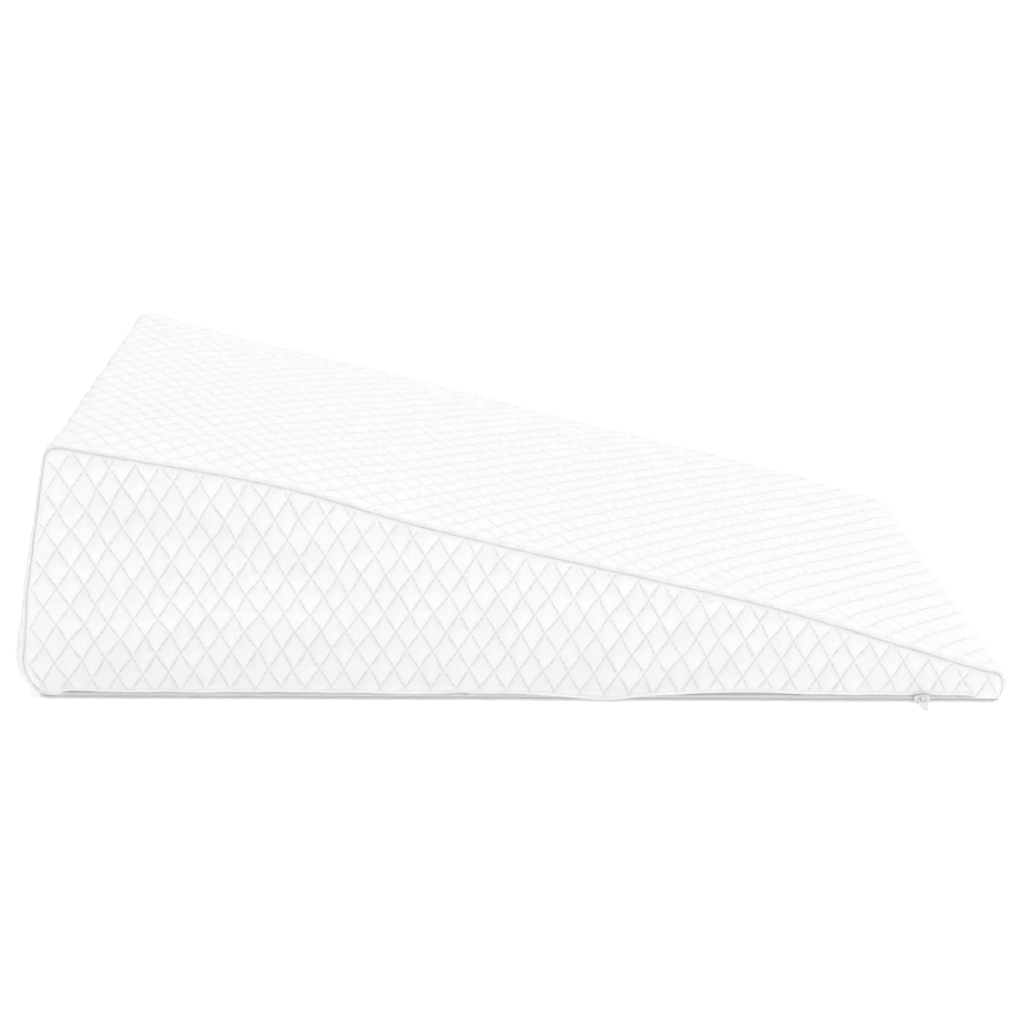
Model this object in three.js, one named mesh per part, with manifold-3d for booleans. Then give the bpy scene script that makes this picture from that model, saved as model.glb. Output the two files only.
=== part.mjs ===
// A wedge pillow in a diamond-quilted knit cover, lying on its base.
// It is one filled wedge, whose top panel wraps over both ends, with two side panels, a base panel
// and a coil zip along one bottom edge. Millimetres, +Z up. The origin is the middle of the base,
// on the floor. +X runs down the slope to the thin end, and the zip is on the -Y side.
import * as THREE from 'three';
import { mergeVertices } from 'three/addons/utils/BufferGeometryUtils.js';
import Module from 'manifold-3d';

const wasm = await Module();
wasm.setup();

// The wedge
const LENGTH = 600;
const WIDTH = 400;
const HEIGHT = 160.5;
const TALL_END_LEAN = THREE.MathUtils.degToRad(9.8);
const FOOT_RADIUS = 24;
const CREST_RADIUS = 9;
const TIP_RADIUS = 10.5;
const FILL_SWELL = 1.5;
const HALF_WIDTH = WIDTH / 2;
const GAP = 0.3;
const SEAM_RIM = 0.3;
const LEAST_SQUARENESS = 0.4;

// How far the filling lifts the slope above a straight line, beside the zip and on the far side,
// by the share of the way down it
const SLOPE_LIFTS = [
  { down: 0, near: -3, far: 1.5 },
  { down: 0.125, near: 4, far: 0.3 },
  { down: 0.25, near: 8, far: 0.7 },
  { down: 0.375, near: 5.1, far: 1.1 },
  { down: 0.5, near: 5.5, far: 0.8 },
  { down: 0.625, near: 7, far: 0.3 },
  { down: 0.75, near: 8, far: 0.6 },
  { down: 0.875, near: 4.2, far: 0.5 },
  { down: 1, near: 0, far: 0.5 },
];
const NEAR_LIFT = new THREE.SplineCurve(SLOPE_LIFTS.map((row) => new THREE.Vector2(row.down, row.near)));
const FAR_LIFT = new THREE.SplineCurve(SLOPE_LIFTS.map((row) => new THREE.Vector2(row.down, row.far)));

// The thin end's corners are rounded in plan, the far one more than the one by the zip
const TIP_CORNERS = { near: 2.5, far: 26 };

// The quilting: diamonds of one pitch along the pillow and another across it
const PITCH_ALONG = 15.2;
const PITCH_ACROSS = 23.3;
const QUILT_RISE = 1.6;
const CORNER_RISE_SHARE = 0.5;

// On the side panels the quilting leans a little, and its rows wander up and down
const PANEL_PITCH_ALONG = 14.9;
const PANEL_LEAN = Math.tan(THREE.MathUtils.degToRad(3));
const PANEL_SHIFT = -4;
const ROW_WANDER = new THREE.SplineCurve([
  { x: -400, rise: -16.6 },
  { x: -300, rise: -3.8 },
  { x: -200, rise: 5.4 },
  { x: -100, rise: 8.4 },
  { x: 0, rise: 7.4 },
  { x: 100, rise: 4.8 },
  { x: 200, rise: 2.8 },
  { x: 300, rise: 3.9 },
  { x: 400, rise: 6.8 },
].map(({ x, rise }) => new THREE.Vector2(x, rise)));

// The panels
const BASE_THICKNESS = 2;
const BASE_FLATTENED = 0.5;
const PANEL_THICKNESS = 2.6;
const PANEL_SWELL = 1;
const PANEL_SWELL_REACH = 25;
const PANEL_RISE_REACH = 9;
const PANEL_BACK = HALF_WIDTH - 3;
const NEAR_PANEL_BOTTOM = 4.9;
const FAR_PANEL_BOTTOM = BASE_THICKNESS + GAP;

// The zip, along the near bottom edge
const ZIP = {
  start: -272, end: 284, middle: 2.85, coilWidth: 3.4, coilDepth: 1.5,
  tapeDepth: 2.2, tapeSlot: 0.5, tapeFoot: 0.4,
};
const SLIDER = {
  x: 247.5, length: 9.6, height: 5, depth: 2.4, noseHeight: 3.4, tailHeight: 3.5,
  widestFrom: 0.96, widestTo: 3.84,
};
const CROWN = {
  length: 2.6, height: 3.8, reach: 2.6, wire: 0.9, root: 0.1, archStart: 0.7, archHeight: 0.6,
  holeFoot: 0.2, holeStart: 0.8,
};
const PULL = {
  length: 13.4, eyeWidth: 5.4, eyeLength: 4.4, eyeCorner: 0.8, tipWidth: 2, tipCorner: 0.6,
  thickness: 1, holeWidth: 3.4, holeLength: 2.5, bar: 1, hang: 0.5, hangHeight: 2.9,
};
const COIL = { shoulder: 0.55, crest: 0.45 };

// How far inside the outline the side seam runs, by its share of the way from the foot of the
// tall end, over the crest and down to the thin end
const SEAM_INSETS = [
  { place: 'foot', share: 0, inset: 6 },
  { place: 'above the foot', share: 0.05, inset: 5.5 },
  { place: 'low on the tall end', share: 0.09, inset: 2.6 },
  { place: 'below the crest', share: 0.18, inset: 1.8 },
  { place: 'crest', share: 0.215, inset: 2 },
  { place: 'past the crest', share: 0.26, inset: 3 },
  { place: 'upper slope', share: 0.45, inset: 3.2 },
  { place: 'lower slope', share: 0.85, inset: 3.4 },
  { place: 'above the tip', share: 0.96, inset: 3.4 },
  { place: 'tip', share: 0.98, inset: 2 },
  { place: 'under the tip', share: 1, inset: 1.5 },
];

const FABRIC = { color: 0xf4f4f2, roughness: 0.9, metalness: 0 };
const PLAIN_KNIT = { color: 0xf0f0ee, roughness: 0.95, metalness: 0 };
const NYLON = { color: 0xf6f6f4, roughness: 0.45, metalness: 0 };
const PAINTED_METAL = { color: 0xe9e9e7, roughness: 0.35, metalness: 0.2 };

const part = new THREE.Group();

function addMesh(name, geometry, finish) {
  const mesh = new THREE.Mesh(geometry, new THREE.MeshStandardMaterial(finish));
  mesh.name = name;
  part.add(mesh);
  return mesh;
}

function smooth(t) {
  const c = THREE.MathUtils.clamp(t, 0, 1);
  return c * c * (3 - 2 * c);
}

function seamInset(share) {
  const next = Math.max(1, SEAM_INSETS.findIndex((row) => row.share >= share));
  const a = SEAM_INSETS[next - 1];
  const b = SEAM_INSETS[next];
  return THREE.MathUtils.mapLinear(share, a.share, b.share, a.inset, b.inset);
}

// The height of a curve through evenly spaced knots, at a place along it
function heightAt(curve, place) {
  const [first, last] = [curve.points[0].x, curve.points.at(-1).x];
  return curve.getPoint(THREE.MathUtils.clamp((place - first) / (last - first), 0, 1)).y;
}

// The outline of the wrap in the XZ plane, from the foot of the tall end up, over the crest and
// down the slope to the underside of the thin end: three arcs, joined by two straight lines
function wrapPath(floor) {
  const crest = new THREE.Vector2(-LENGTH / 2 + HEIGHT * Math.tan(TALL_END_LEAN), HEIGHT);
  const tip = new THREE.Vector2(LENGTH / 2 - TIP_RADIUS, TIP_RADIUS);
  const toTip = tip.clone().sub(crest);
  const slope = Math.atan2(toTip.y, toTip.x) + Math.asin(TIP_RADIUS / toTip.length());
  const downTallEnd = new THREE.Vector2(-Math.sin(TALL_END_LEAN), -Math.cos(TALL_END_LEAN));
  const downSlope = new THREE.Vector2(Math.cos(slope), Math.sin(slope));
  const halfCorner = Math.acos(downTallEnd.dot(downSlope)) / 2;
  const intoCorner = downTallEnd.clone().add(downSlope).normalize();
  const crestCentre = crest.clone().addScaledVector(intoCorner, CREST_RADIUS / Math.sin(halfCorner));
  const footRun = FOOT_RADIUS / Math.tan((Math.PI / 2 - TALL_END_LEAN) / 2);
  const foot = new THREE.Vector2(-LENGTH / 2 + footRun, FOOT_RADIUS);
  const tallEndOut = Math.PI - TALL_END_LEAN;
  const slopeOut = Math.PI / 2 + slope;
  const footStart = Math.PI + Math.asin((FOOT_RADIUS - floor) / FOOT_RADIUS);
  const tipEnd = -Math.asin((TIP_RADIUS - floor) / TIP_RADIUS);
  const path = new THREE.Path();
  path.absarc(foot.x, foot.y, FOOT_RADIUS, footStart, tallEndOut, true);
  path.absarc(crestCentre.x, crestCentre.y, CREST_RADIUS, tallEndOut, slopeOut, true);
  path.absarc(tip.x, tip.y, TIP_RADIUS, slopeOut, tipEnd, true);
  return { path, crest, foot, tip };
}

// The wrap's stations, half a quilting pitch apart: a point of the outline, the way out of it,
// the way in to the side seam, and how much of the filling's swell and the quilting's rise
// shows there
function wrapStations(floor) {
  const { path, crest } = wrapPath(floor);
  const total = path.getLength();
  const stations = [];
  let before = 0;
  path.curves.forEach((curve, index) => {
    const length = curve.getLength();
    const steps = Math.max(3, Math.round(length / (PITCH_ALONG / 2)));
    const riseShare = curve instanceof THREE.LineCurve ? 1 : CORNER_RISE_SHARE;
    for (let i = index === 0 ? 0 : 1; i <= steps; i += 1) {
      const at = curve.getPointAt(i / steps);
      const tangent = curve.getTangentAt(i / steps);
      const out = new THREE.Vector2(-tangent.y, tangent.x);
      const inward = new THREE.Vector2(-out.x, -Math.max(out.y, 0)).normalize();
      const share = (before + (length * i) / steps) / total;
      const downSlope = THREE.MathUtils.clamp((at.x - crest.x) / (LENGTH / 2 - crest.x), 0, 1);
      const alongFace = downSlope > 0 ? downSlope : THREE.MathUtils.clamp(at.y / HEIGHT, 0, 1);
      const swell = FILL_SWELL * Math.sin(Math.PI * alongFace);
      stations.push({ at, out, inward, downSlope, swell, riseShare, inset: seamInset(share) });
    }
    before += length;
  });
  stations[0].riseShare = 0;
  stations.at(-1).riseShare = 0;
  return stations;
}

// The filling lifts the slope, less and less down the tall end, and a tip corner pulls the thin
// end in. A side panel and its recess take both from the side, and not from their own depth
function settled(x, y, z, downSlope, takenFrom = y) {
  const across = THREE.MathUtils.clamp(takenFrom / WIDTH + 0.5, 0, 1);
  const held = downSlope > 0 ? 1 : THREE.MathUtils.clamp(z / HEIGHT, 0, 1);
  const lift = held * THREE.MathUtils.lerp(
    heightAt(NEAR_LIFT, downSlope), heightAt(FAR_LIFT, downSlope), across,
  );
  const radius = takenFrom < 0 ? TIP_CORNERS.near : TIP_CORNERS.far;
  const over = Math.min(Math.max(Math.abs(takenFrom) - (HALF_WIDTH - radius), 0), radius);
  const pull = radius - Math.sqrt(radius * radius - over * over);
  const start = LENGTH / 2 - 3 * radius;
  return new THREE.Vector3(x - pull * smooth((x - start) / (3 * radius)), y, z + lift);
}

// The faces of a flat end, turned the way its ring runs: a fan suits a convex outline, and ears
// suit one with hollows
const fan = (ring) => ring.slice(2).map((point, i) => [0, i + 1, i + 2]);

function ears(ring) {
  const flat = ring.map((p) => new THREE.Vector2(p.x, p.y));
  const faces = THREE.ShapeUtils.triangulateShape(flat.slice(), []);
  const area = THREE.ShapeUtils.area;
  const sameWay = area(faces[0].map((index) => flat[index])) * area(flat) > 0;
  return sameWay ? faces : faces.map(([a, b, c]) => [a, c, b]);
}

// The faces between rings of as many points each. Each quad is split along the diagonal that
// joins its low points, so that a quilted face folds at the stitching
function wallFaces(rings, isClosed, isLow = () => true) {
  const count = rings[0].length;
  const faces = [];
  for (let k = 0; k + 1 < rings.length; k += 1) {
    for (let i = 0; i < count - (isClosed ? 0 : 1); i += 1) {
      const next = (i + 1) % count;
      const [a, b, c, d] = [k * count + i, k * count + next, (k + 1) * count + next, (k + 1) * count + i];
      faces.push(...(isLow(i, k) ? [a, b, c, a, c, d] : [a, b, d, b, c, d]));
    }
  }
  return faces;
}

function endFaces(rings, shape) {
  const shift = (rings.length - 1) * rings[0].length;
  const first = shape(rings[0]).flatMap(([a, b, c]) => [a, c, b]);
  const last = shape(rings.at(-1)).flatMap((face) => face.map((index) => shift + index));
  return [...first, ...last];
}

// A closed body through closed rings, with flat ends
function loft(rings, shape = fan, isLow = () => true) {
  return facingOut(rings.flat(), [...wallFaces(rings, true, isLow), ...endFaces(rings, shape)]);
}

function facingOut(points, faces) {
  const cross = new THREE.Vector3();
  let volume = 0;
  for (let i = 0; i < faces.length; i += 3) {
    const [a, b, c] = faces.slice(i, i + 3).map((index) => points[index]);
    volume += cross.crossVectors(b, c).dot(a);
  }
  const turned = volume < 0 ? faces.slice().reverse() : faces;
  const geometry = new THREE.BufferGeometry().setFromPoints(points);
  geometry.setIndex(turned);
  return geometry;
}

function toSolid(geometry) {
  const bare = geometry.clone();
  bare.deleteAttribute('normal');
  bare.deleteAttribute('uv');
  const merged = mergeVertices(bare, 1e-4);
  return new wasm.Manifold(new wasm.Mesh({
    numProp: 3,
    vertProperties: new Float32Array(merged.attributes.position.array),
    triVerts: new Uint32Array(merged.index.array),
  }));
}

function toGeometry(solid) {
  const mesh = solid.getMesh();
  const geometry = new THREE.BufferGeometry();
  geometry.setAttribute('position', new THREE.BufferAttribute(new Float32Array(mesh.vertProperties), 3));
  geometry.setIndex(new THREE.BufferAttribute(new Uint32Array(mesh.triVerts), 1));
  return geometry;
}

// The filled wedge. Its rings are the lines along the pillow: one for each half pitch across it,
// down the rounded edges to the side seams, and the recesses inside the seams for the side panels
function makeWedge(stations) {
  const half = PITCH_ACROSS / 2;
  const lines = Math.floor(HALF_WIDTH / half);
  const rings = [];
  const addRing = (place, takenFrom) => rings.push(stations.map((station, i) => {
    const { across, drop, tilt, high } = place(station, i);
    const rise = high ? QUILT_RISE * station.riseShare : 0;
    const flatness = Math.max(0, 1 - (across / HALF_WIDTH) ** 2);
    const out = (takenFrom ? 0 : flatness * station.swell) + rise * Math.cos(tilt);
    const x = station.at.x + station.out.x * out + station.inward.x * drop;
    const z = station.at.y + station.out.y * out + station.inward.y * drop;
    const y = across + Math.sign(across) * rise * Math.sin(tilt);
    return settled(x, y, z, station.downSlope, takenFrom);
  }));
  const seam = (across, gap) => ({ inset }) => ({ across, drop: inset + gap, tilt: 0, high: false });
  addRing(seam(-PANEL_BACK + GAP, SEAM_RIM), -HALF_WIDTH);
  addRing(seam(-HALF_WIDTH, SEAM_RIM), -HALF_WIDTH);
  addRing(seam(-HALF_WIDTH, 0), -HALF_WIDTH);
  for (let j = -lines; j <= lines; j += 1) {
    addRing((station, i) => {
      const flat = HALF_WIDTH - station.inset;
      const tilt = Math.max(0, (Math.abs(j * half) - flat) / station.inset);
      const reach = tilt > 0 ? flat + station.inset * Math.sin(tilt) : Math.abs(j * half);
      const drop = station.inset * (1 - Math.cos(tilt));
      return { across: Math.sign(j) * reach, drop, tilt, high: (i + j) % 2 !== 0 };
    });
  }
  addRing(seam(HALF_WIDTH, 0), HALF_WIDTH);
  addRing(seam(HALF_WIDTH, SEAM_RIM), HALF_WIDTH);
  addRing(seam(PANEL_BACK - GAP, SEAM_RIM), HALF_WIDTH);
  const walls = wallFaces(rings, false, (i, k) => (i + k + 3 + lines) % 2 === 0);
  return facingOut(rings.flat(), [...walls, ...endFaces(rings, fan), ...undersideFaces(rings)]);
}

// The wedge's flat underside. Beside the recesses, which are open below, it is only the ends
// of the seam's lip: a fan round the recess's corner, to the first ring that is clear of it
function undersideFaces(rings) {
  const count = rings[0].length;
  const foot = (k) => k * count;
  const tip = (k) => k * count + count - 1;
  const lip = 4;
  const last = rings.length - 1;
  const faces = [];
  for (let k = 1; k < lip; k += 1) {
    faces.push(foot(0), foot(k), foot(k + 1), tip(0), tip(k + 1), tip(k));
    faces.push(foot(last), foot(last - k - 1), foot(last - k), tip(last), tip(last - k), tip(last - k - 1));
  }
  const across = [0, last];
  for (let k = lip; k <= last - lip; k += 1) {
    across.splice(-1, 0, k);
  }
  for (let n = 0; n + 1 < across.length; n += 1) {
    const [k, next] = [across[n], across[n + 1]];
    faces.push(foot(k), foot(next), tip(next), foot(k), tip(next), tip(k));
  }
  return faces;
}

// The outline that a side panel is cut to, just inside its recess, and straight along its hem.
// Where the way in runs aslant to the outline, the gap is taken wider along it
function sideOutline(stations, side, bottom) {
  const seam = stations.map(({ at, out, inward, inset, downSlope }) => {
    const drop = inset + SEAM_RIM + GAP / Math.max(LEAST_SQUARENESS, -inward.dot(out));
    const p = settled(at.x + inward.x * drop, side * HALF_WIDTH, at.y + inward.y * drop, downSlope);
    return new THREE.Vector2(p.x, p.z);
  });
  const first = seam.findIndex((p) => p.y > bottom);
  const last = seam.findLastIndex((p) => p.y > bottom);
  const corners = [[first, first - 1], [last, last + 1]].map(([above, below]) => {
    const [a, b] = [seam[above], seam[below] ?? seam[above]];
    const share = a.y === b.y ? 0 : (a.y - bottom) / (a.y - b.y);
    return new THREE.Vector2(THREE.MathUtils.lerp(a.x, b.x, Math.min(share, 1)), bottom);
  });
  return [corners[0], ...seam.slice(first, last + 1), corners[1]];
}

function distanceToOutline(point, outline) {
  const nearest = new THREE.Vector3();
  const target = new THREE.Vector3(point.x, point.y, 0);
  let least = Infinity;
  for (let i = 0; i < outline.length; i += 1) {
    const a = outline[i];
    const b = outline[(i + 1) % outline.length];
    const edge = new THREE.Line3(new THREE.Vector3(a.x, a.y, 0), new THREE.Vector3(b.x, b.y, 0));
    edge.closestPointToPoint(target, true, nearest);
    least = Math.min(least, nearest.distanceTo(target));
  }
  return least;
}

// A side panel: a quilted slab, drawn in at its seams, cut to the outline of the wrap
function makeSidePanel(stations, side, bottom) {
  const outline = sideOutline(stations, side, bottom);
  const columns = Math.ceil(LENGTH / PANEL_PITCH_ALONG) + 1;
  const rows = Math.ceil(HEIGHT / (PITCH_ACROSS / 2)) + 1;
  const place = (i, j) => {
    const level = (j * PITCH_ACROSS) / 2;
    const x = (i * PANEL_PITCH_ALONG) / 2 + level * PANEL_LEAN + PANEL_SHIFT;
    return { x, z: level + heightAt(ROW_WANDER, x) };
  };
  const front = [];
  const back = [];
  for (let j = -1; j <= rows; j += 1) {
    const frontRow = [];
    for (let i = -columns; i <= columns; i += 1) {
      const { x, z } = place(i, j);
      const inside = distanceToOutline(new THREE.Vector2(x, z), outline);
      const high = (i + j) % 2 !== 0;
      const swell = PANEL_SWELL * smooth(inside / PANEL_SWELL_REACH);
      const rise = high ? QUILT_RISE * smooth(inside / PANEL_RISE_REACH) : 0;
      frontRow.push(new THREE.Vector3(x, side * (PANEL_BACK + PANEL_THICKNESS + swell + rise), z));
    }
    front.push(frontRow);
    back.push([-columns, columns].map((i) => {
      const { x, z } = place(i, j);
      return new THREE.Vector3(x, side * PANEL_BACK, z);
    }));
  }
  const rings = front.map((row, k) => [...row, back[k][1], back[k][0]]);
  const slab = loft(rings, ears, (i, k) => (i - columns + k - 1) % 2 === 0);
  const reach = 4 * PANEL_THICKNESS;
  const cutter = loft([PANEL_BACK - reach, PANEL_BACK + reach].map((y) => (
    outline.map((p) => new THREE.Vector3(p.x, side * y, p.y))
  )));
  return toGeometry(toSolid(slab).intersect(toSolid(cutter)));
}

// The base panel: a flat sheet whose ends follow the wrap's rounded foot and tip
function makeBasePanel() {
  const { foot, tip } = wrapPath(0);
  const ring = (z) => {
    const x0 = foot.x - Math.sqrt(FOOT_RADIUS ** 2 - (FOOT_RADIUS - z) ** 2);
    const x1 = tip.x + Math.sqrt(TIP_RADIUS ** 2 - (TIP_RADIUS - z) ** 2);
    const y0 = -PANEL_BACK + GAP;
    const y1 = HALF_WIDTH - GAP;
    const { near, far } = TIP_CORNERS;
    const shape = new THREE.Shape();
    shape.moveTo(x0, y0);
    shape.lineTo(x1 - near, y0);
    shape.absarc(x1 - near, y0 + near, near, -Math.PI / 2, 0, false);
    shape.absarc(x1 - far, y1 - far, far, 0, Math.PI / 2, false);
    shape.lineTo(x0, y1);
    const points = shape.getPoints(6);
    return points.map((p) => new THREE.Vector3(p.x, p.y, z));
  };
  const bottom = ring(BASE_FLATTENED).map((p) => p.setZ(0));
  return loft([bottom, ring(BASE_THICKNESS)]);
}

// A straight strip along the zip, with its section given in the YZ plane
function makeStrip(section, x0, x1) {
  const rings = [x0, x1].map((x) => section.map(([y, z]) => new THREE.Vector3(x, y, z)));
  return loft(rings);
}

function makeTape(bottom, top) {
  const back = -PANEL_BACK;
  const face = back - ZIP.tapeDepth;
  return makeStrip([[back, bottom], [back, top], [face, top], [face, bottom]], ZIP.start, ZIP.end);
}

// The closed coil: a low rounded bar
function makeCoil() {
  const back = -PANEL_BACK - ZIP.tapeDepth - GAP;
  const face = back - ZIP.coilDepth;
  const half = ZIP.coilWidth / 2;
  const shoulder = ZIP.coilDepth * COIL.shoulder;
  const crest = half * COIL.crest;
  const side = [[back, half], [back - shoulder, half], [face, crest]];
  const upper = side.map(([y, z]) => [y, ZIP.middle + z]);
  const lower = side.map(([y, z]) => [y, ZIP.middle - z]).reverse();
  return makeStrip([...upper, ...lower], ZIP.start, ZIP.end);
}

function sliderBack() {
  return -PANEL_BACK - ZIP.tapeDepth - GAP - ZIP.coilDepth - GAP;
}

// The slider's front plate, wide at the open end and narrower at the closed end, and the crown
// that carries the pull
function makeSlider() {
  const half = SLIDER.length / 2;
  const { widestFrom, widestTo } = SLIDER;
  const [nose, widest, tail] = [SLIDER.noseHeight / 2, SLIDER.height / 2, SLIDER.tailHeight / 2];
  const plate = new THREE.Shape([
    new THREE.Vector2(-half, -nose), new THREE.Vector2(widestFrom, -widest),
    new THREE.Vector2(widestTo, -widest), new THREE.Vector2(half, -tail),
    new THREE.Vector2(half, tail), new THREE.Vector2(widestTo, widest),
    new THREE.Vector2(widestFrom, widest), new THREE.Vector2(-half, nose),
  ]);
  const body = new THREE.ExtrudeGeometry(plate, { depth: SLIDER.depth, bevelEnabled: false });
  const outer = CROWN.reach + CROWN.wire;
  const high = CROWN.height / 2;
  const { archStart, archHeight, holeStart, holeFoot, reach, root } = CROWN;
  const arch = new THREE.Shape([
    new THREE.Vector2(-root, -high), new THREE.Vector2(outer * archStart, -high),
    new THREE.Vector2(outer, -high * archHeight), new THREE.Vector2(outer, high * archHeight),
    new THREE.Vector2(outer * archStart, high), new THREE.Vector2(-root, high),
  ]);
  const inner = high - CROWN.wire;
  arch.holes.push(new THREE.Path([
    new THREE.Vector2(holeFoot, -inner), new THREE.Vector2(holeFoot, inner),
    new THREE.Vector2(reach * holeStart, inner), new THREE.Vector2(reach, inner * archHeight),
    new THREE.Vector2(reach, -inner * archHeight), new THREE.Vector2(reach * holeStart, -inner),
  ]));
  const crown = new THREE.ExtrudeGeometry(arch, { depth: CROWN.length, bevelEnabled: false });
  crown.translate(0, 0, -CROWN.length / 2);
  crown.rotateY(-Math.PI / 2);
  crown.translate(0, 0, SLIDER.depth);
  return toGeometry(toSolid(body).add(toSolid(crown)));
}

// The pull: a flat tab that tapers from its eye to its tip
function makePull() {
  const eye = PULL.eyeWidth / 2;
  const tip = PULL.tipWidth / 2;
  const { length, eyeLength, eyeCorner, tipCorner, bar } = PULL;
  const side = [
    [eye - eyeCorner, 0], [eye, eyeCorner], [eye, eyeLength], [tip, length - tipCorner],
    [tip - tipCorner, length],
  ];
  const right = side.map(([x, y]) => new THREE.Vector2(x, y));
  const left = side.map(([x, y]) => new THREE.Vector2(-x, y)).reverse();
  const outline = new THREE.Shape([...right, ...left]);
  const hole = PULL.holeWidth / 2;
  outline.holes.push(new THREE.Path([
    new THREE.Vector2(-hole, bar), new THREE.Vector2(-hole, bar + PULL.holeLength),
    new THREE.Vector2(hole, bar + PULL.holeLength), new THREE.Vector2(hole, bar),
  ]));
  const tab = new THREE.ExtrudeGeometry(outline, { depth: PULL.thickness, bevelEnabled: false });
  tab.translate(0, 0, -PULL.thickness / 2);
  return tab;
}

const stations = wrapStations(BASE_THICKNESS + GAP);
addMesh('quilted_wedge', makeWedge(stations), FABRIC);
addMesh('side_panel_near', makeSidePanel(stations, -1, NEAR_PANEL_BOTTOM), FABRIC);
addMesh('side_panel_far', makeSidePanel(stations, 1, FAR_PANEL_BOTTOM), FABRIC);
addMesh('base_panel', makeBasePanel(), PLAIN_KNIT);

const slot = ZIP.tapeSlot / 2;
addMesh('zip_tape_lower', makeTape(ZIP.tapeFoot, ZIP.middle - slot), NYLON);
addMesh('zip_tape_upper', makeTape(ZIP.middle + slot, NEAR_PANEL_BOTTOM - GAP), NYLON);
addMesh('zip_coil', makeCoil(), NYLON);

const slider = addMesh('zip_slider', makeSlider(), PAINTED_METAL);
slider.rotation.x = Math.PI / 2;
slider.position.set(SLIDER.x, sliderBack(), ZIP.middle);

// The pull hangs in the crown, with its tip on the floor in front of the pillow
const pull = addMesh('zip_pull', makePull(), PAINTED_METAL);
const pullRoot = new THREE.Vector3(SLIDER.x, sliderBack() - SLIDER.depth - PULL.hang, PULL.hangHeight);
const tipClearance = PULL.thickness / 2 + GAP;
pull.rotation.x = Math.PI + Math.asin((pullRoot.z - tipClearance) / PULL.length);
pull.position.copy(pullRoot);

export default part;
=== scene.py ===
"""The looks of a wedge pillow in a diamond-quilted knit cover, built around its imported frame.

Metres, +Z up. +X runs down the slope to the thin end, and the zip is on the -Y side.
"""
import itertools
import math

import bmesh
import bpy
import numpy as np
from mathutils import Matrix, Vector, kdtree


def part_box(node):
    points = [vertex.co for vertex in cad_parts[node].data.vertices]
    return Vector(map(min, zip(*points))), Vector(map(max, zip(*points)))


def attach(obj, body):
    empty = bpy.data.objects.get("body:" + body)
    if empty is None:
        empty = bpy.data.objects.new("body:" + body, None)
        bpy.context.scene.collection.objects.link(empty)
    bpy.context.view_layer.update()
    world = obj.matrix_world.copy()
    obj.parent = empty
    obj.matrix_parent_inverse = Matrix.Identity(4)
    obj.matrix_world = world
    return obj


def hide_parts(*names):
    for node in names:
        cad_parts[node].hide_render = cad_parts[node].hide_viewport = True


MM = 0.001

# The wedge
LENGTH = 600 * MM
WIDTH = 400 * MM
HEIGHT = 160.5 * MM
TALL_END_LEAN = math.radians(9.8)
FOOT_RADIUS = 24 * MM
CREST_RADIUS = 9 * MM
TIP_RADIUS = 10.5 * MM
FILL_SWELL = 1.5 * MM
TIP_CORNER_NEAR = 2.5 * MM
TIP_CORNER_FAR = 26 * MM
TIP_PULL_REACH = 3
HALF_WIDTH = WIDTH / 2
BASE_THICKNESS = 2 * MM
GAP = 0.3 * MM
FLOOR_SEAM = BASE_THICKNESS + GAP
ARC_POINTS = 60
SEAM_POINTS = 420

# How far the filling lifts the slope above a straight line, beside the zip and on the far side,
# by the share of the way down it
LIFT_PLACES = np.linspace(0, 1, 9)
NEAR_LIFTS = MM * np.array([-3, 4, 8, 5.1, 5.5, 7, 8, 4.2, 0])
FAR_LIFTS = MM * np.array([1.5, 0.3, 0.7, 1.1, 0.8, 0.3, 0.6, 0.5, 0.5])

# How far inside the outline the side seam runs, by its share of the way from the foot of the
# tall end, over the crest and down to the thin end
SEAM_SHARES = (0, 0.05, 0.09, 0.18, 0.215, 0.26, 0.45, 0.85, 0.96, 0.98, 1)
SEAM_INSETS = [MM * inset for inset in (6, 5.5, 2.6, 1.8, 2, 3, 3.2, 3.4, 3.4, 2, 1.5)]

# The quilting: stitch lines cross it both ways and leave diamonds, and each of a diamond's
# sides is sewn with a few stitches
PITCH_ALONG = 15.2 * MM
PITCH_ACROSS = 23.3 * MM
PUFF = 1.5 * MM
PUFF_ROUNDNESS = 0.62
TAUT_CORNER = 0.5
STITCHES_A_SIDE = 4
STITCH_SHARE = 0.78
THREAD_RADIUS = 0.14 * MM

# The side panels' quilting leans a little, and its rows wander up and down along the panel
PANEL_PITCH_ALONG = 14.9 * MM
PANEL_PITCH_UP = 23.3 * MM
PANEL_LEAN = math.tan(math.radians(3))
PANEL_SHIFT = -4 * MM
ROW_PLACES = MM * np.arange(-400, 401, 100)
ROW_RISES = MM * np.array([-16.6, -3.8, 5.4, 8.4, 7.4, 4.8, 2.8, 3.9, 6.8])
WANDER = 0.45 * MM
WANDER_SIZE = 26 * MM
GRID_ROUNDS = 12

# How much the puffs, the wrinkles and the puckers beside a seam vary, and how far apart they come
PUFF_VARIES = 45 * MM
COVER_VARIES = 0.13
PANEL_VARIES = 0.15
COVER_WRINKLE, COVER_WRINKLE_SIZE = 0.35 * MM, 38 * MM
PANEL_WRINKLE, PANEL_WRINKLE_SIZE = 0.4 * MM, 36 * MM
COVER_PUCKER, COVER_PUCKER_SIZE = 0.3 * MM, 16 * MM
PANEL_PUCKER, PANEL_PUCKER_SIZE = 0.45 * MM, 15 * MM
PUCKER_REACH = 9 * MM
PUCKER_START = 3 * MM
QUILT_START = 4 * MM
SHOWS_STITCHES = 0.6

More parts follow.
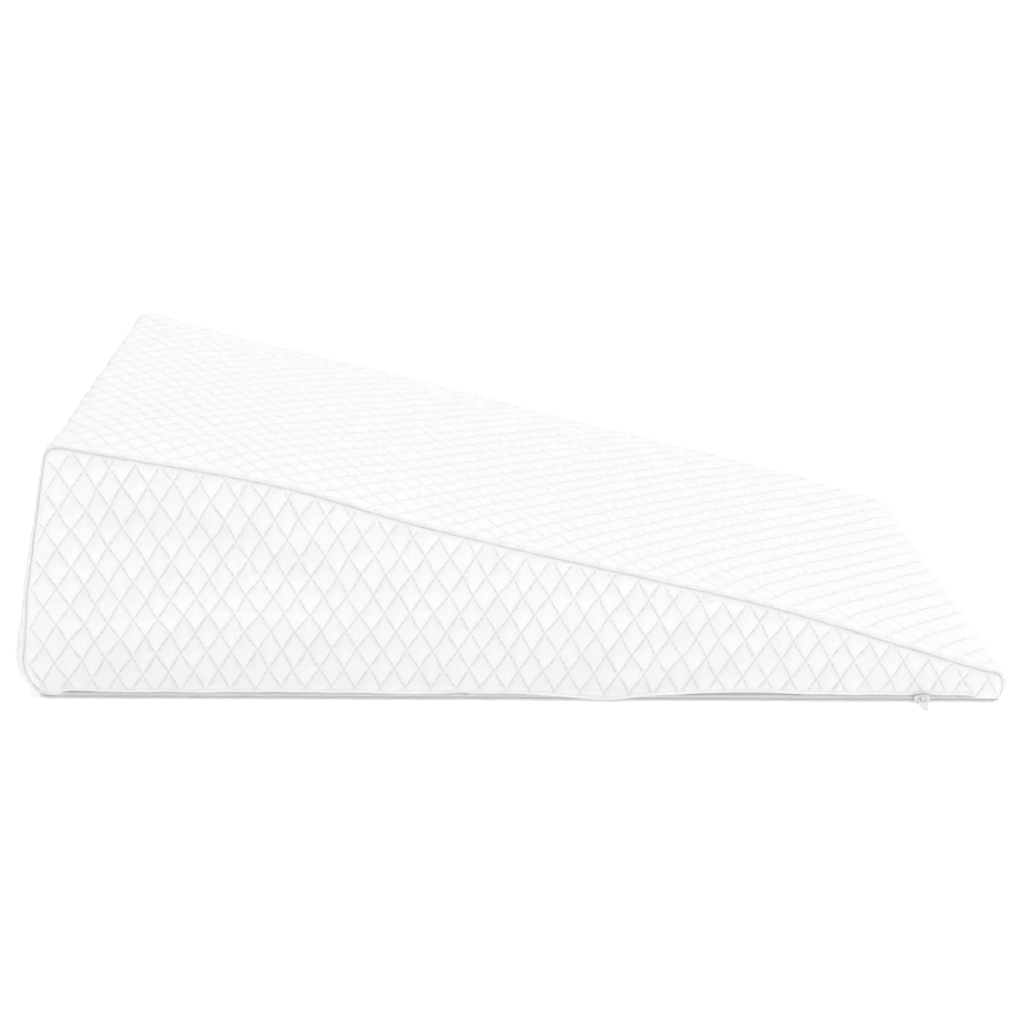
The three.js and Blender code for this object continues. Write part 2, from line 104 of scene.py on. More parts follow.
PANEL_BACK = HALF_WIDTH - 3 * MM
PANEL_THICKNESS = 2.95 * MM
PANEL_SWELL = 1 * MM
PANEL_SWELL_REACH = 25 * MM
SEAM_ROLL = 0.45 * MM
HEM_ROLL = 0.8 * MM
NEAR_HEM = 4.4 * MM
ZIP_START = -272 * MM
ZIP_END = 284 * MM
ZIP_END_FOLD = 10 * MM
HEM_STITCH = 2.4 * MM
ZIP_COVER = 0.6 * MM
ZIP_COVER_REACH = 6 * MM
HEM_STITCH_LENGTH = 3.2 * MM
HEM_SLACK_FROM = 0.6 * MM
HEM_DROOP = 1.6
HEM_DROOP_REACH = 14 * MM
SEAM_GAP = 0.05 * MM


def smooth(t):
    c = np.clip(t, 0, 1)
    return c * c * (3 - 2 * c)


def curve_height(x, knots, heights):
    """The height of a smooth curve through knots, at places along it."""
    slopes = np.gradient(heights, knots)
    k = np.clip(np.searchsorted(knots, x) - 1, 0, len(knots) - 2)
    run = knots[k + 1] - knots[k]
    t = (x - knots[k]) / run
    return ((2 * t ** 3 - 3 * t ** 2 + 1) * heights[k] + (t ** 3 - 2 * t ** 2 + t) * run * slopes[k]
            + (3 * t ** 2 - 2 * t ** 3) * heights[k + 1] + (t ** 3 - t ** 2) * run * slopes[k + 1])


def unevenness(a, b, size, seed, waves=10):
    """Smooth ups and downs over a surface, about size apart and mostly from -1 to 1."""
    rng = np.random.default_rng(seed)
    total = np.zeros(np.broadcast(a, b).shape)
    for _ in range(waves):
        turn, phase = rng.uniform(0, 2 * np.pi, 2)
        length = size * rng.uniform(0.7, 1.6)
        total += np.cos(2 * np.pi * (a * np.cos(turn) + b * np.sin(turn)) / length + phase)
    return total / np.sqrt(waves)


def puckers(along, to_seam, height, size, seed):
    """The ripples that a seam draws into the cloth beside it."""
    ripple = height * unevenness(along, along * 0, size, seed) * np.exp(-to_seam / PUCKER_REACH)
    return ripple * smooth(to_seam / PUCKER_START)


def puff(a, b):
    """The quilting's height between its stitch lines: 0 on them, 1 in a diamond's middle."""
    return np.abs(np.sin(np.pi * a) * np.sin(np.pi * b)) ** PUFF_ROUNDNESS


class Outline:
    """The wrap's outline in the XZ plane, from the foot of the tall end, over the crest and down
    to the underside of the thin end: three arcs joined by two straight lines."""

    def __init__(self, floor):
        crest = np.array([-LENGTH / 2 + HEIGHT * math.tan(TALL_END_LEAN), HEIGHT])
        tip = np.array([LENGTH / 2 - TIP_RADIUS, TIP_RADIUS])
        to_tip = tip - crest
        slope = math.atan2(to_tip[1], to_tip[0]) + math.asin(TIP_RADIUS / np.hypot(*to_tip))
        down_tall_end = np.array([-math.sin(TALL_END_LEAN), -math.cos(TALL_END_LEAN)])
        down_slope = np.array([math.cos(slope), math.sin(slope)])
        half_corner = math.acos(down_tall_end @ down_slope) / 2
        into_corner = (down_tall_end + down_slope) / np.hypot(*(down_tall_end + down_slope))
        crest_centre = crest + into_corner * CREST_RADIUS / math.sin(half_corner)
        foot_run = FOOT_RADIUS / math.tan((math.pi / 2 - TALL_END_LEAN) / 2)
        foot = np.array([-LENGTH / 2 + foot_run, FOOT_RADIUS])
        tall_end_out = math.pi - TALL_END_LEAN
        slope_out = math.pi / 2 + slope
        foot_start = math.pi + math.asin((FOOT_RADIUS - floor) / FOOT_RADIUS)
        tip_end = -math.asin((TIP_RADIUS - floor) / TIP_RADIUS)
        arcs = (
            (foot, FOOT_RADIUS, foot_start, tall_end_out),
            (crest_centre, CREST_RADIUS, tall_end_out, slope_out),
            (tip, TIP_RADIUS, slope_out, tip_end),
        )
        turns, points = [], []
        for centre, radius, start, end in arcs:
            turn = np.linspace(start, end, ARC_POINTS)
            turns.append(turn)
            points.append(centre + radius * np.stack([np.cos(turn), np.sin(turn)], 1))
        self.turn = np.concatenate(turns)
        self.point = np.concatenate(points)
        steps = np.hypot(*np.diff(self.point, axis=0).T)
        self.along = np.concatenate([[0], np.cumsum(steps)])
        self.length = self.along[-1]
        self.crest_x = crest[0]
        ends = self.along.reshape(len(arcs), -1)[:, [0, -1]]
        self.corners = [(start, end) for start, end in ends]

    def at(self, along):
        """The outline's points, the ways out of them, the ways in to the side seam, how far in
        that is, and the share of the slope that lies above each."""
        point = np.stack([np.interp(along, self.along, self.point[:, k]) for k in (0, 1)], -1)
        turn = np.interp(along, self.along, self.turn)
        out = np.stack([np.cos(turn), np.sin(turn)], -1)
        inward = np.stack([-out[..., 0], -np.maximum(out[..., 1], 0)], -1)
        inward /= np.maximum(np.linalg.norm(inward, axis=-1, keepdims=True), 1e-9)
        inset = np.interp(along / self.length, SEAM_SHARES, SEAM_INSETS)
        down = np.clip((point[..., 0] - self.crest_x) / (LENGTH / 2 - self.crest_x), 0, 1)
        return point, out, inward, inset, down

    def openness(self, along):
        """1 along the straight lines, and less at the rounded corners, where the cloth is taut."""
        share = np.ones(np.shape(along))
        for start, end in self.corners:
            outside = np.maximum(start - along, along - end)
            share = np.minimum(share, 1 - TAUT_CORNER * smooth(1 - outside / (PITCH_ALONG / 2)))
        return share


def settle(x, z, down, taken_from):
    """The filling lifts the slope, less and less down the tall end, and a tip corner pulls the
    thin end in."""
    across = np.clip(taken_from / WIDTH + 0.5, 0, 1)
    near = curve_height(down, LIFT_PLACES, NEAR_LIFTS)
    far = curve_height(down, LIFT_PLACES, FAR_LIFTS)
    held = np.where(down > 0, 1, np.clip(z / HEIGHT, 0, 1))
    lift = held * (near + (far - near) * across)
    radius = np.where(taken_from < 0, TIP_CORNER_NEAR, TIP_CORNER_FAR)
    over = np.clip(np.abs(taken_from) - (HALF_WIDTH - radius), 0, radius)
    pull = radius - np.sqrt(radius ** 2 - over ** 2)
    reach = TIP_PULL_REACH * radius
    return x - pull * smooth((x - LENGTH / 2 + reach) / reach), z + lift


def wrap_surface(outline, along, share):
    """The cover's top panel without its quilting, and the ways out of it. share runs from -1 at
    the seam by the zip to 1 at the far seam, and the last few millimetres roll down to a seam."""
    point, out, inward, inset, down = outline.at(along)
    flat = HALF_WIDTH - inset
    across = np.abs(share) * (flat + inset * np.pi / 2)
    tilt = np.clip((across - flat) / inset, 0, np.pi / 2)
    y = np.sign(share) * np.where(tilt > 0, flat + inset * np.sin(tilt), across)
    drop = inset * (1 - np.cos(tilt))
    along_face = np.where(down > 0, down, np.clip(point[..., 1] / HEIGHT, 0, 1))
    swell = FILL_SWELL * (1 - (y / HALF_WIDTH) ** 2) * np.sin(np.pi * along_face)
    x = point[..., 0] + out[..., 0] * swell + inward[..., 0] * drop
    z = point[..., 1] + out[..., 1] * swell + inward[..., 1] * drop
    x, z = settle(x, z, down, y)
    way = np.stack(
        [out[..., 0] * np.cos(tilt), np.sign(share) * np.sin(tilt), out[..., 1] * np.cos(tilt)], -1
    )
    return np.stack([x, y, z], -1), way


def seam_line(outline, side, drop):
    """A side seam in the XZ plane, drop inside the lip of the wrap."""
    along = np.linspace(0, outline.length, SEAM_POINTS)
    point, out, inward, inset, down = outline.at(along)
    at = point + inward * (inset + drop)[:, None]
    x, z = settle(at[:, 0], at[:, 1], down, np.full(len(along), side * HALF_WIDTH))
    return np.stack([x, z], 1)


# Meshes

def add_object(name, data):
    made = bpy.data.objects.new(name, data)
    bpy.context.scene.collection.objects.link(made)
    return made


def new_piece(name, points, faces, material, attributes=(), shade_smooth=True):
    mesh = bpy.data.meshes.new(name)
    mesh.from_pydata(np.asarray(points).tolist(), [], [list(map(int, face)) for face in faces])
    for label, values in attributes:
        layer = mesh.attributes.new(label, "FLOAT_VECTOR", "POINT")
        layer.data.foreach_set("vector", np.asarray(values, np.float32).ravel())
    mesh.materials.append(material)
    work = bmesh.new()
    work.from_mesh(mesh)
    bmesh.ops.recalc_face_normals(work, faces=work.faces)
    work.to_mesh(mesh)
    work.free()
    mesh.polygons.foreach_set("use_smooth", [shade_smooth] * len(mesh.polygons))
    mesh.update()
    return add_object(name, mesh)


def grid_faces(rows, columns, along_falling):
    """The triangles of a grid of points. along_falling says, for each cell, which way it is
    split, so that a stitch line runs along an edge."""
    row, column = np.meshgrid(np.arange(rows - 1), np.arange(columns - 1), indexing="ij")
    a = row * columns + column
    b, c, d = a + 1, a + columns + 1, a + columns
    falling = along_falling(row, column)
    first = np.where(falling[..., None], np.stack([a, b, d], -1), np.stack([a, b, c], -1))
    second = np.where(falling[..., None], np.stack([b, c, d], -1), np.stack([a, c, d], -1))
    return np.stack([first, second], 2)


def splits_on_lines(fineness, offset):
    """For grid_faces: the cells that a falling stitch line crosses."""
    return lambda row, column: (row + column + offset + 1) % (2 * fineness) == 0


def quads_of_row(row, count):
    """The four-sided faces between one row of a grid and the next."""
    a, b = row * count, (row + 1) * count
    return [(a + c, a + c + 1, b + c + 1, b + c) for c in range(count - 1)]


def tube_quads(rings, sides):
    """The four-sided faces of a tube of rings of points."""
    k, s = np.meshgrid(np.arange(rings - 1) * sides, np.arange(sides), indexing="ij")
    ahead = (s + 1) % sides
    return np.stack([k + s, k + ahead, k + sides + ahead, k + sides + s], -1).reshape(-1, 4)


def rods(paths, radii, ups, sides):
    """Closed round rods along many paths of as many points each. ups point out of the cloth."""
    paths = np.asarray(paths, float)
    count, steps = paths.shape[:2]
    along = np.gradient(paths, axis=1)
    along /= np.linalg.norm(along, axis=2, keepdims=True)
    ups = np.broadcast_to(np.asarray(ups, float)[:, None], paths.shape)
    across = np.cross(along, ups)
    across /= np.linalg.norm(across, axis=2, keepdims=True)
    up = np.cross(across, along)
    turn = np.arange(sides) * 2 * np.pi / sides
    ring = np.cos(turn)[:, None] * up[:, :, None] + np.sin(turn)[:, None] * across[:, :, None]
    walls = paths[:, :, None] + ring * np.asarray(radii)[None, :, None, None]
    tips = paths[:, [0, -1]] + along[:, [0, -1]] * np.array([-1, 1])[:, None] * radii[0] * 0.6
    points = np.concatenate([walls.reshape(count, -1, 3), tips], 1)
    quads = tube_quads(steps, sides)
    tris = np.concatenate([quads[:, [0, 1, 2]], quads[:, [0, 2, 3]]])
    start, end = steps * sides, steps * sides + 1
    edge = np.arange(sides)
    last = (steps - 1) * sides
    caps = np.concatenate([
        np.stack([np.full(sides, start), (edge + 1) % sides, edge], 1),
        np.stack([np.full(sides, end), last + edge, last + (edge + 1) % sides], 1),
    ])
    faces = np.concatenate([tris, caps])
    all_faces = faces[None] + (np.arange(count) * points.shape[1])[:, None, None]
    return points.reshape(-1, 3), all_faces.reshape(-1, 3)


def rod(path, radius, up, sides):
    """One round rod of an even thickness."""
    return rods(np.array([path]), np.full(len(path), radius), np.array([up], float), sides)


def nearest_on(line, points):
    """How far points lie from a line of joined points, and the nearest point on it."""
    start, step = line[:-1], np.diff(line, axis=0)
    reach = np.maximum((step ** 2).sum(1), 1e-18)
    distances, places = [], []
    for some in np.array_split(points, max(1, len(points) * len(start) // 4_000_000)):
        offset = some[:, None] - start
        t = np.clip((offset * step).sum(2) / reach, 0, 1)
        gap = np.linalg.norm(offset - t[..., None] * step, axis=2)
        best = gap.argmin(1)
        chosen = np.arange(len(some))
        distances.append(gap[chosen, best])
        places.append(start[best] + t[chosen, best][:, None] * step[best])
    return np.concatenate(distances), np.concatenate(places)


def is_inside(outline, points):
    """Whether points lie inside a closed outline."""
    inside = np.zeros(len(points), bool)
    for (x0, y0), (x1, y1) in zip(outline, np.roll(outline, -1, 0)):
        crosses = (y0 > points[:, 1]) != (y1 > points[:, 1])
        run = (x1 - x0) * (points[:, 1] - y0) / (y1 - y0 if y1 != y0 else 1) + x0
        inside ^= crosses & (points[:, 0] < run)
    return inside


def cut_to_outline(grid, outline, faces):
    """Cuts a grid of plane points to a closed outline. The grid's points beside the outline
    move onto it. Returns the points, the faces that are left and the cut edge in order."""
    rows, columns = grid.shape[:2]
    points = grid.reshape(-1, 2).copy()
    cell = min(np.linalg.norm(grid[0, 1] - grid[0, 0]), np.linalg.norm(grid[1, 0] - grid[0, 0]))
    closed = np.vstack([outline, outline[:1]])
    distance, place = nearest_on(closed, points)
    inside = is_inside(outline, points)
    well_inside = inside & (distance > 0.4 * cell)
    beside = well_inside.reshape(rows, columns)
    spread = beside.copy()
    for axis, shift in itertools.product((0, 1), (1, -1)):
        spread |= np.roll(beside, shift, axis)
    moved = spread.ravel() & ~well_inside
    points[moved] = place[moved]
    used = well_inside | moved
    faces = faces.reshape(-1, 3)
    faces = faces[used[faces].all(1) & well_inside[faces].any(1)]
    p, q, r = (points[faces[:, k]] for k in range(3))
    doubled = (q - p)[:, 0] * (r - p)[:, 1] - (q - p)[:, 1] * (r - p)[:, 0]
    faces = faces[np.abs(doubled) > 1e-12]
    return points, faces, edge_loop(faces)


def edge_loop(faces):
    """The points of the one open edge of a patch of faces, in order."""
    sides = {(int(a), int(b)) for face in faces for a, b in zip(face, np.roll(face, -1))}
    following = {a: b for a, b in sides if (b, a) not in sides}
    loops = []
    while following:
        first, point = following.popitem()
        loop = [first]
        while point != first:
            loop.append(point)
            point = following.pop(point)
        loops.append(loop)
    return max(loops, key=len)


def sheet_piece(name, front, faces, loop, back, material, attributes, middle=None):
    """A closed sheet: its face, and a flat back joined to it round the edge."""
    used = np.unique(faces)
    renumber = np.full(len(front), -1)
    renumber[used] = np.arange(len(used))
    loop = np.asarray(loop)
    middle = (front[loop] + back) / 2 if middle is None else middle
    first, second = len(used), len(used) + len(loop)
    points = np.concatenate([front[used], middle, back])
    around = np.arange(len(loop))
    ahead = (around + 1) % len(loop)
    edge = renumber[loop]
    rim = np.concatenate([
        np.stack([edge[ahead], edge[around], first + around, first + ahead], 1),
        np.stack([first + ahead, first + around, second + around, second + ahead], 1),
    ])
    all_faces = [*renumber[faces], *rim, list(second + around[::-1])]
    spread = [
        (label, np.concatenate([values[used], values[loop], values[loop]]))
        for label, values in attributes
    ]
    return new_piece(name, points, all_faces, material, spread)


# Materials

def white(level, less_blue=0.005):
    return level, level, level - less_blue, 1


def soft(weight, depth):
    """The settings of a material that light goes into."""
    return {"Subsurface_Weight": weight, "Subsurface_Scale": depth}


class Finish:
    """A material, with short ways to add its nodes."""

    def __init__(self, name, colour, roughness, **settings):
        self.material = bpy.data.materials.new(name)
        self.material.use_nodes = True
        self.tree = self.material.node_tree
        self.shader = self.tree.nodes["Principled BSDF"]
        self.feed(self.shader.inputs["Base Color"], colour)
        self.feed(self.shader.inputs["Roughness"], roughness)
        self.feed(self.shader.inputs["Subsurface Radius"], (1, 1, 1))
        for label, value in settings.items():
            self.feed(self.shader.inputs[label.replace("_", " ")], value)

    def feed(self, socket, value):
        if isinstance(value, bpy.types.NodeSocket):
            self.tree.links.new(value, socket)
        else:
            socket.default_value = value

    def node(self, kind, inputs=None, **settings):
        made = self.tree.nodes.new(kind)
        for label, value in settings.items():
            setattr(made, label, value)
        for label, value in (inputs or {}).items():
            self.feed(made.inputs[label], value)
        return made

    def math(self, operation, *values):
        made = self.node("ShaderNodeMath", operation=operation)
        for socket, value in zip(made.inputs, values):
            self.feed(socket, value)
        return made.outputs[0]

    def times(self, a, b):
        return self.math("MULTIPLY", a, b)

    def done(self, normal, colour=None):
        """Feeds the shader its bumped normal and its colour, and gives the finished material."""
        if colour is not None:
            self.feed(self.shader.inputs["Base Color"], colour)
        self.feed(self.shader.inputs["Normal"], normal)
        return self.material

    def parts(self, attribute):
        """The three numbers of one of the mesh's vector attributes."""
        read = self.node("ShaderNodeAttribute", attribute_name=attribute)
        split = self.node("ShaderNodeSeparateXYZ", {0: read.outputs["Vector"]})
        return split.outputs

    def ramp(self, value, low, high, to_low=0.0, to_high=1.0):
        made = self.node("ShaderNodeMapRange", {
            "Value": value, "From Min": low, "From Max": high, "To Min": to_low, "To Max": to_high,
        }, interpolation_type="SMOOTHSTEP")
        return made.outputs["Result"]

    def tint(self, share, before, after):
        made = self.node("ShaderNodeMix", data_type="RGBA")
        self.feed(made.inputs["Factor"], share)
        self.feed(made.inputs[6], before)
        self.feed(made.inputs[7], after)
        return made.outputs[2]

    def bump(self, height, distance, strength=1.0, before=None):
        inputs = {"Height": height, "Distance": distance, "Strength": strength}
        if before is not None:
            inputs["Normal"] = before
        return self.node("ShaderNodeBump", inputs).outputs["Normal"]

    def knit(self, u, v, wale, course):
        """The height of a plain knit: columns of V-shaped stitches."""
        column = self.math("PINGPONG", self.math("DIVIDE", u, wale), 0.5)
        lean = self.times(column, 1.1)
        row = self.math("ADD", self.math("DIVIDE", v, course), lean)
        wave = self.math("SINE", self.times(row, 2 * math.pi))
        legs = self.math("SINE", self.times(column, 2 * math.pi))
        return self.times(self.math("ADD", self.times(wave, 0.5), 0.7), legs)

    def fuzz(self, scale, detail=3.0):
        where = self.node("ShaderNodeTexCoord").outputs["Object"]
        made = self.node("ShaderNodeTexNoise", {"Vector": where, "Scale": scale, "Detail": detail})
        return made.outputs["Fac"]


def quilted_knit():
    """White knit sewn in diamonds, with shade painted into the stitch grooves and into a needle
    hole at each stitch's end.
    """
    cloth = Finish(
        "quilted_knit", white(0.91), 0.92, Sheen_Weight=0.12, Sheen_Roughness=0.6,
        **soft(0.6, 2 * MM),
    )
    u, v, to_hem = cloth.parts("cloth")
    a, b, shows = cloth.parts("lattice")
    period = PITCH_ALONG * PITCH_ACROSS / math.hypot(PITCH_ALONG, PITCH_ACROSS)
    stitch = math.hypot(PITCH_ALONG, PITCH_ACROSS) / 2 / STITCHES_A_SIDE
    grooves, holes = [], []
    for phase, other in ((a, b), (b, a)):
        off = cloth.times(cloth.math("PINGPONG", phase, 0.5), period)
        stitches = cloth.times(other, STITCHES_A_SIDE)
        along = cloth.times(cloth.math("PINGPONG", stitches, 0.5), stitch)
        squares = [cloth.math("POWER", distance, 2) for distance in (off, along)]
        far = cloth.math("SQRT", cloth.math("ADD", *squares))
        grooves.append(cloth.ramp(off, 0, 0.7 * MM, 1, 0))
        holes.append(cloth.ramp(far, 0.2 * MM, 0.65 * MM, 1, 0))
    visible = cloth.ramp(shows, 0.2, 0.6)
    from_stitch = cloth.math("ABSOLUTE", cloth.math("SUBTRACT", to_hem, HEM_STITCH))
    sewn = cloth.ramp(from_stitch, 0, 0.8 * MM, 1, 0)
    groove = cloth.times(cloth.math("MAXIMUM", *grooves), visible)
    groove = cloth.math("MAXIMUM", groove, sewn)
    hole = cloth.times(cloth.math("MAXIMUM", *holes), visible)
    mottle = cloth.ramp(cloth.fuzz(160), 0.3, 0.7, 0, 0.35)
    colour = cloth.tint(mottle, white(0.92), white(0.88))
    # Painted shade: the colour is darkened along the stitch grooves and the hem's stitch line, and
    # at each needle hole, where shade falls into them
    colour = cloth.tint(cloth.times(groove, 0.15), colour, white(0.78, 0.01))
    colour = cloth.tint(cloth.times(hole, 0.5), colour, white(0.66, 0))
    stitches = cloth.bump(cloth.math("ADD", groove, hole), 0.2 * MM, 0.6)
    stitches.node.invert = True
    fuzz = cloth.bump(cloth.fuzz(900), 0.25 * MM, 0.5, stitches)
    knit = cloth.bump(cloth.knit(u, v, 0.95 * MM, 0.8 * MM), 0.16 * MM, 0.8, fuzz)
    return cloth.done(knit, colour)


def plain_knit():
    cloth = Finish(
        "plain_knit", white(0.84), 0.95, Sheen_Weight=0.1, Sheen_Roughness=0.6,
        **soft(0.6, 2 * MM),
    )
    u, v, _ = cloth.parts("cloth")
    mottle = cloth.ramp(cloth.fuzz(120), 0.3, 0.7, 0, 0.5)
    colour = cloth.tint(mottle, white(0.85), white(0.79))
    fuzz = cloth.bump(cloth.fuzz(700), 0.3 * MM, 0.5)
    knit = cloth.bump(cloth.knit(u, v, 1.3 * MM, 1.1 * MM), 0.25 * MM, 0.9, fuzz)
    return cloth.done(knit, colour)


def thread():
    twine = Finish("thread", white(0.9), 0.7, Sheen_Weight=0.2)
    return twine.done(twine.bump(twine.fuzz(2500, 1), 0.05 * MM))


def zip_tape():
    tape = Finish("zip_tape", white(0.86, 0.01), 0.8, Sheen_Weight=0.1, **soft(0.5, 1.5 * MM))
    u, v, _ = tape.parts("cloth")
    warp = tape.math("SINE", tape.times(v, 2 * math.pi / (0.5 * MM)))
    weft = tape.math("SINE", tape.times(u, 2 * math.pi / (0.6 * MM)))
    weave = tape.times(warp, weft)
    colour = tape.tint(tape.ramp(weave, -1, 1), white(0.84, 0.01), white(0.93, 0.01))
    return tape.done(tape.bump(weave, 0.1 * MM), colour)


def nylon():
    coil = Finish("zip_coil", white(0.93, 0.01), 0.4, **soft(0.6, 1.5 * MM))
    return coil.done(coil.bump(coil.fuzz(1200, 1), 0.04 * MM, 0.5))


def painted_metal():
    metal = Finish("zip_metal", white(0.84), 0.3, Coat_Weight=0.3, Coat_Roughness=0.2)
    worn = metal.ramp(metal.fuzz(500, 4), 0.55, 0.75, 0, 0.5)
    colour = metal.tint(worn, white(0.76), white(0.68, 0.01))
    return metal.done(metal.bump(metal.fuzz(900, 2), 0.05 * MM, 0.6), colour)


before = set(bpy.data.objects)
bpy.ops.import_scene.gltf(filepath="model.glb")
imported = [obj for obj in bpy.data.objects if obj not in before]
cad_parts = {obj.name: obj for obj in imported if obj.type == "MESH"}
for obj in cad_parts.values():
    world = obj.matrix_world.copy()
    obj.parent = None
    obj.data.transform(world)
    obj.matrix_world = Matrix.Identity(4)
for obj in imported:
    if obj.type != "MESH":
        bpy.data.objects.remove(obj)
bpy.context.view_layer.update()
outline = Outline(FLOOR_SEAM)
QUILTED = quilted_knit()
PLAIN = plain_knit()
THREAD = thread()
TAPE = zip_tape()
NYLON = nylon()
METAL = painted_metal()


# The cloth settles on its filling

SETTLE_VOXEL = 6 * MM
SETTLE_CAP = 6 * MM
SETTLE_MOST = 1.6 * MM
SETTLE_EDGE = 32 * MM
SETTLE_FRAMES = 20
SETTLE_START = 2.5 * MM
SETTLE_CLEAR = 10 * MM
SETTLE_REACH = 40 * MM
SETTLE_SKIP = 3
SETTLE_COLUMNS, SETTLE_ROWS = 130, 41
SETTLE_NEAREST = 10
SETTLE_CLOTH = {
    "quality": 5, "mass": 0.3, "tension_stiffness": 15, "compression_stiffness": 15,
    "shear_stiffness": 8, "bending_stiffness": 1.5, "use_pressure": True,
    "uniform_pressure_force": 4,
}


def capped(steps, most):
    reach = np.linalg.norm(steps, axis=1, keepdims=True)
    return steps * np.minimum(1, most / np.maximum(reach, 1e-9))


def simulate_settling():
    """A coarse closed cover, blown up a little by its filling. Returns its points before, and how
    far each moved."""
    columns, rows = SETTLE_COLUMNS, SETTLE_ROWS
    along, share = np.meshgrid(np.linspace(0, outline.length, columns), np.linspace(-1, 1, rows))
    points, ways = wrap_surface(outline, along, share)
    points = (points - ways * SETTLE_START).reshape(-1, 3)
    quads = [quad for r in range(rows - 1) for quad in quads_of_row(r, columns)]
    near = list(range(columns))
    far = [(rows - 1) * columns + c for c in range(columns)]
    under = [r * columns for r in range(rows)]
    under += [r * columns + columns - 1 for r in reversed(range(rows))]
    cover = new_piece("settling", points, [*quads, near, far[::-1], under], PLAIN)
    bpy.context.view_layer.objects.active = cover
    cover.select_set(True)
    remesh = cover.modifiers.new("remesh", "REMESH")
    remesh.mode = "VOXEL"
    remesh.voxel_size = SETTLE_VOXEL
    bpy.ops.object.modifier_apply(modifier=remesh.name)
    before = np.array([v.co for v in cover.data.vertices])
    normals = np.array([v.normal for v in cover.data.vertices])
    cloth = cover.modifiers.new("cloth", "CLOTH")
    for label, value in SETTLE_CLOTH.items():
        setattr(cloth.settings, label, value)
    cloth.settings.effector_weights.gravity = 0
    cloth.point_cache.frame_end = SETTLE_FRAMES
    scene = bpy.context.scene
    for number in range(1, SETTLE_FRAMES + 1):
        scene.frame_set(number)
    bpy.ops.object.modifier_apply(modifier=cloth.name)
    after = np.array([v.co for v in cover.data.vertices])
    scene.frame_set(1)
    bpy.data.objects.remove(cover)
    step = capped(after - before, SETTLE_CAP)
    swelling = (step * normals).sum(1)
    step -= normals * swelling[before[:, 2] > SETTLE_CLEAR].mean()
    return before, capped(step, SETTLE_MOST)


def settling():
    """A function that gives how far the filling moves points of the cloth."""
    before, step = simulate_settling()
    tree = kdtree.KDTree(len(before))
    for index, point in enumerate(before):
        tree.insert(point, index)
    tree.balance()

    def moved(points):
        flat = points.reshape(-1, 3)
        total = np.zeros_like(flat)
        for index, point in enumerate(flat):
            found = tree.find_n(point, SETTLE_NEAREST)
            weights = np.array([1 / (distance + SETTLE_VOXEL) ** 2 for _, _, distance in found])
            total[index] = weights @ step[[number for _, number, _ in found]] / weights.sum()
        free = smooth((flat[:, 2] - SETTLE_CLEAR) / SETTLE_REACH)[:, None]
        return (total * free).reshape(points.shape)

    return moved


moved_by_filling = settling()


# The filled wedge

WRAP_FINENESS = 5
NO_HEM = 1.0
# How deep behind the seam, and how far inside its lip, the wrap's edge turns in
LIP_TURNS = ((0.6 * MM, 0.02 * MM), (3.3 * MM, 0.04 * MM))


def make_cover():
    half = PITCH_ALONG / 2
    along_count = round(outline.length / half) * WRAP_FINENESS
    across_count = round((HALF_WIDTH + 2 * MM) / (PITCH_ACROSS / 2) * WRAP_FINENESS)
    i = np.arange(along_count + 1)
    j = np.arange(-across_count, across_count + 1)
    along, share = np.meshgrid(i / along_count * outline.length, j / across_count)
    base, ways = wrap_surface(outline, along, share)
    ii, jj = np.meshgrid(i, j)
    coarse = moved_by_filling(base[::SETTLE_SKIP, ::SETTLE_SKIP])
    a = (ii + jj) / (2 * WRAP_FINENESS)
    b = (ii - jj) / (2 * WRAP_FINENESS)
    across = share * HALF_WIDTH
    to_seam = (1 - np.abs(share)) * HALF_WIDTH
    settled = between(coarse, (jj + across_count) / SETTLE_SKIP, ii / SETTLE_SKIP)
    base = base + settled * smooth(to_seam / SETTLE_EDGE)[..., None]
    to_foot = np.minimum(along, outline.length - along)
    shows = smooth(to_seam / QUILT_START) * smooth(to_foot / (6 * MM))
    uneven = 1 + COVER_VARIES * unevenness(along, across, PUFF_VARIES, 3)
    taut = outline.openness(along) * smooth(0.2 + to_seam / (20 * MM))
    rise = PUFF * uneven * shows * taut * puff(a, b)
    wrinkle = COVER_WRINKLE * unevenness(along, across, COVER_WRINKLE_SIZE, 4) * shows
    pucker = puckers(along, to_seam, COVER_PUCKER, COVER_PUCKER_SIZE, 5)
    points = base + ways * (rise + wrinkle + pucker)[..., None]
    cells = grid_faces(len(j), len(i), splits_on_lines(WRAP_FINENESS, -across_count))
    # The lip turns in under the seam to the recess behind each side panel
    lips = []
    line = np.linspace(0, outline.length, SEAM_POINTS)
    for side, (depth, drop) in itertools.product((-1, 1), LIP_TURNS):
        at = seam_line(outline, side, drop)
        x, z = (np.interp(i / along_count * outline.length, line, at[:, k]) for k in (0, 1))
        lips.append(np.stack([x, np.full(len(i), side * (HALF_WIDTH - depth)), z], 1))
    rows = [lips[1], lips[0], *points, lips[2], lips[3]]
    grid = np.stack(rows)
    count = len(i)
    faces = [*(cells.reshape(-1, 3) + 2 * count)]
    last = len(rows) - 1
    for r in (0, 1, last - 2, last - 1):
        faces += quads_of_row(r, count)
    faces += [range(count), range(last * count, (last + 1) * count)]
    starts = np.arange(last) * count
    faces += [*np.stack([starts, starts + count, starts + 2 * count - 1, starts + count - 1], 1)]
    pad = [0, 0, *range(len(j)), len(j) - 1, len(j) - 1]
    lattice = np.stack([a, b, shows], -1)[pad]
    cloth = np.stack([along, across, to_seam * 0 + NO_HEM], -1)[pad]
    attributes = [("lattice", lattice.reshape(-1, 3)), ("cloth", cloth.reshape(-1, 3))]
    piece = new_piece("quilted_cover", grid.reshape(-1, 3), faces, QUILTED, attributes)
    return piece, points, ways, shows


